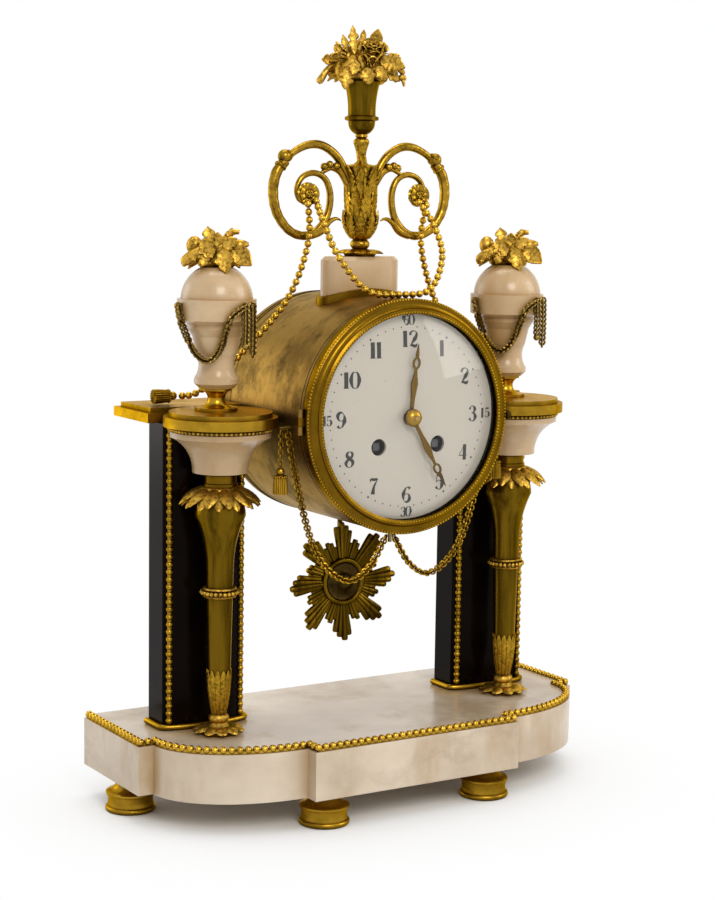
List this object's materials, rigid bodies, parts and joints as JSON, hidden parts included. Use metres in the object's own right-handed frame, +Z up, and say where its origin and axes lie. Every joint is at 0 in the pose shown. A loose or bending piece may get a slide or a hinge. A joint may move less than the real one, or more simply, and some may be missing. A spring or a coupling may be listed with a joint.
{
  "type": "portico mantel clock",
  "caption": "Portico mantel clock: drum movement held between marble piers and gilt columns, with urns, chains, a flower finial, hinged glass bezel, striking train and sunburst pendulum.",
  "frame": {"origin": "middle of the footprint on the surface the feet stand on", "axes": "+Z up, -Y the dial side, +X to the right as the dial is read"},
  "size_m": [0.3026, 0.128, 0.4418],
  "materials": {
    "cream_marble": "polished warm white marble",
    "black_marble": "polished black marble",
    "gilt": "fire-gilt bronze, rubbed",
    "old_brass": "patinated brass",
    "enamel": "glossy white enamel",
    "glass": "clear domed glass",
    "bell_bronze": "turned bell bronze",
    "movement_brass": "polished brass",
    "steel": "polished steel"
  },
  "bodies": {
    "case": {"base_slab": "cream_marble", "capitals": "cream_marble", "left_urn": "cream_marble", "right_urn": "cream_marble", "plinth": "cream_marble", "left_pier": "black_marble", "right_pier": "black_marble", "base_beading": "gilt", "feet": "gilt", "pier_mounts": "gilt", "columns": "gilt", "column_mounts": "gilt", "left_entablature": "gilt", "right_entablature": "gilt", "urn_feet": "gilt", "urn_fruit": "gilt", "plinth_moulding": "gilt", "finial_vase": "gilt", "finial_cup": "gilt", "bouquet": "gilt", "left_scroll": "gilt", "right_scroll": "gilt", "ball_chains": "gilt", "tassels": "gilt", "drum_case": "old_brass", "chain_hooks": "old_brass", "link_chains": "old_brass", "dial_plate": "old_brass", "dial": "enamel", "bell": "bell_bronze", "movement_plates": "movement_brass", "suspension_cock": "movement_brass", "tie_rods": "steel", "hinge_pins": "steel", "frame_pillars": "steel"},
    "bezel": {"bezel": "gilt", "bezel_glass": "glass"},
    "back_door": {"back_door": "old_brass"},
    "minute_train": {"centre_arbor": "movement_brass", "cannon_pinion": "movement_brass", "minute_hand": "gilt", "hand_nut": "gilt"},
    "hour_train": {"hour_wheel": "movement_brass", "hour_hand": "gilt"},
    "minute_wheel": {"minute_wheel": "movement_brass"},
    "second_wheel": {"second_wheel": "movement_brass"},
    "third_wheel": {"third_wheel": "movement_brass"},
    "escape_wheel": {"escape_wheel": "movement_brass"},
    "going_barrel": {"going_barrel": "movement_brass"},
    "strike_barrel": {"strike_barrel": "movement_brass"},
    "going_arbor": {"going_arbor": "steel"},
    "strike_arbor": {"strike_arbor": "steel"},
    "strike_wheel": {"strike_wheel": "movement_brass"},
    "pin_wheel": {"pin_wheel": "movement_brass"},
    "warning_wheel": {"warning_wheel": "movement_brass"},
    "fly": {"fly": "movement_brass"},
    "hammer": {"hammer": "steel"},
    "anchor": {"anchor": "steel"},
    "pendulum": {"pendulum_rod": "steel", "pendulum_bob": "gilt"}
  },
  "joints": [
    {"name": "bezel_hinge", "type": "hinge", "parent": "case", "child": "bezel", "pos_m": [-0.0677, -0.042, 0.2235], "axis": [0, 0, -1], "range_deg": [0, 110]},
    {"name": "back_door_hinge", "type": "hinge", "parent": "case", "child": "back_door", "pos_m": [-0.0607, 0.0583, 0.2235], "axis": [0, 0, 1], "range_deg": [0, 90]},
    {"name": "minute_hand_turn", "type": "hinge", "parent": "case", "child": "minute_train", "pos_m": [0, 0, 0.2235], "axis": [0, 1, 0], "continuous": true},
    {"name": "hour_hand_turn", "type": "hinge", "parent": "case", "child": "hour_train", "pos_m": [0, 0, 0.2235], "axis": [0, 1, 0], "continuous": true},
    {"name": "minute_wheel_turn", "type": "hinge", "parent": "case", "child": "minute_wheel", "pos_m": [0, 0, 0.2355], "axis": [0, 1, 0], "continuous": true},
    {"name": "second_wheel_turn", "type": "hinge", "parent": "case", "child": "second_wheel", "pos_m": [0.01572, 0, 0.2312], "axis": [0, 1, 0], "continuous": true},
    {"name": "third_wheel_turn", "type": "hinge", "parent": "case", "child": "third_wheel", "pos_m": [0, 0, 0.2391], "axis": [0, 1, 0], "continuous": true},
    {"name": "escape_wheel_turn", "type": "hinge", "parent": "case", "child": "escape_wheel", "pos_m": [0, 0, 0.2538], "axis": [0, 1, 0], "continuous": true},
    {"name": "going_barrel_turn", "type": "hinge", "parent": "case", "child": "going_barrel", "pos_m": [0.0195, 0, 0.2075], "axis": [0, 1, 0], "continuous": true},
    {"name": "going_winding", "type": "hinge", "parent": "case", "child": "going_arbor", "pos_m": [0.0195, 0, 0.2075], "axis": [0, 1, 0], "continuous": true},
    {"name": "strike_winding", "type": "hinge", "parent": "case", "child": "strike_arbor", "pos_m": [-0.0195, 0, 0.2075], "axis": [0, 1, 0], "continuous": true},
    {"name": "pin_wheel_turn", "type": "hinge", "parent": "case", "child": "pin_wheel", "pos_m": [-0.01711, 0, 0.24714], "axis": [0, 1, 0], "continuous": true},
    {"name": "strike_wheel_turn", "type": "hinge", "parent": "case", "child": "strike_wheel", "pos_m": [-0.01572, 0, 0.2312], "axis": [0, 1, 0], "continuous": true},
    {"name": "strike_barrel_turn", "type": "hinge", "parent": "case", "child": "strike_barrel", "pos_m": [-0.0195, 0, 0.2075], "axis": [0, 1, 0], "continuous": true},
    {"name": "warning_wheel_turn", "type": "hinge", "parent": "case", "child": "warning_wheel", "pos_m": [-0.02951, 0, 0.24262], "axis": [0, 1, 0], "continuous": true},
    {"name": "fly_turn", "type": "hinge", "parent": "case", "child": "fly", "pos_m": [-0.03476, 0, 0.25172], "axis": [0, 1, 0], "continuous": true},
    {"name": "hammer_lift", "type": "hinge", "parent": "case", "child": "hammer", "pos_m": [-0.033, 0, 0.2315], "axis": [0, -1, 0], "range_deg": [0, 10], "stiffness_Nm_per_rad": 0.004, "springref_deg": -2.86},
    {"name": "pendulum_swing", "type": "hinge", "parent": "case", "child": "pendulum", "pos_m": [0, 0.0268, 0.2672], "axis": [0, 1, 0], "range_deg": [-4, 4]},
    {"name": "anchor_rock", "type": "hinge", "parent": "case", "child": "anchor", "pos_m": [0, 0, 0.2672], "axis": [0, 1, 0], "range_deg": [-4, 4]}
  ],
  "couplings": [
    {"joint": "hour_hand_turn", "follows": "minute_hand_turn", "ratio": 0.083333},
    {"joint": "minute_wheel_turn", "follows": "minute_hand_turn", "ratio": -0.33333},
    {"joint": "second_wheel_turn", "follows": "minute_hand_turn", "ratio": -0.16667},
    {"joint": "going_barrel_turn", "follows": "minute_hand_turn", "ratio": 0.02381},
    {"joint": "third_wheel_turn", "follows": "minute_hand_turn", "ratio": -12},
    {"joint": "escape_wheel_turn", "follows": "minute_hand_turn", "ratio": 156},
    {"joint": "strike_wheel_turn", "follows": "pin_wheel_turn", "ratio": -0.11111},
    {"joint": "strike_barrel_turn", "follows": "pin_wheel_turn", "ratio": 0.015873},
    {"joint": "warning_wheel_turn", "follows": "pin_wheel_turn", "ratio": -10},
    {"joint": "fly_turn", "follows": "pin_wheel_turn", "ratio": 90},
    {"joint": "anchor_rock", "follows": "pendulum_swing", "ratio": 1}
  ]
}
